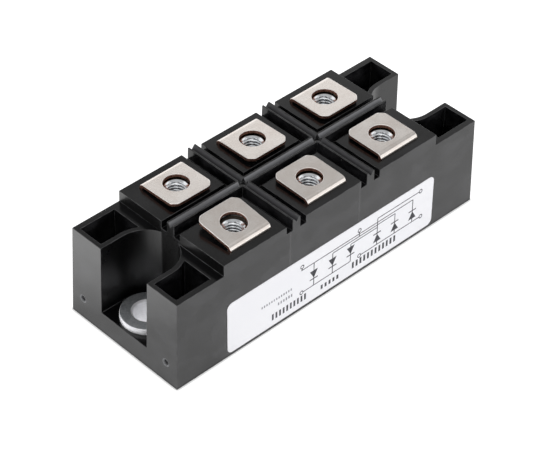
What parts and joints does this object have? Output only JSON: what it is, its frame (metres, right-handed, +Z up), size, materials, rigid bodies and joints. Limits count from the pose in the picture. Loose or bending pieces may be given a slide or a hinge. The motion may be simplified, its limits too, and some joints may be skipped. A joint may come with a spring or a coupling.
{
  "type": "bridge rectifier",
  "caption": "Rectangular bridge rectifier module with bent screw terminals over captive nuts, grooved barrier ribs, corner pockets and bushed mounting channels.",
  "frame": {"origin": "centre of the flat bottom of the case", "axes": "+X along the case between the mounting holes, -Y towards the label, +Z up through the terminals"},
  "size_m": [0.094, 0.0349, 0.0293],
  "materials": {
    "case_plastic": "satin black moulding",
    "label_film": "matt white film",
    "copper": "bare copper",
    "bush_steel": "turned and plated",
    "plated_copper": "satin nickel plate over copper",
    "nut_steel": "bright zinc plate",
    "substrate_ceramic": "white alumina",
    "silicon": "metallised silicon",
    "potting_gel": "clear silicone"
  },
  "bodies": {
    "root": {"housing": "case_plastic", "label": "label_film", "base_plate": "copper", "bush_left": "bush_steel", "bush_right": "bush_steel", "terminal_front_1": "plated_copper", "terminal_front_2": "plated_copper", "terminal_front_3": "plated_copper", "terminal_back_1": "plated_copper", "terminal_back_2": "plated_copper", "terminal_back_3": "plated_copper", "nut_front_1": "nut_steel", "nut_front_2": "nut_steel", "nut_front_3": "nut_steel", "nut_back_1": "nut_steel", "nut_back_2": "nut_steel", "nut_back_3": "nut_steel", "substrate_back_copper": "copper", "ceramic_substrate": "substrate_ceramic", "track_phase_1": "copper", "track_phase_2": "copper", "track_phase_3": "copper", "track_common_a": "copper", "track_common_b": "copper", "chip_a_1": "silicon", "chip_a_2": "silicon", "chip_a_3": "silicon", "chip_b_1": "silicon", "chip_b_2": "silicon", "chip_b_3": "silicon", "clip_a_1": "copper", "clip_a_2": "copper", "clip_a_3": "copper", "clip_b_1": "copper", "clip_b_2": "copper", "clip_b_3": "copper", "potting": "potting_gel"}
  },
  "joints": []
}
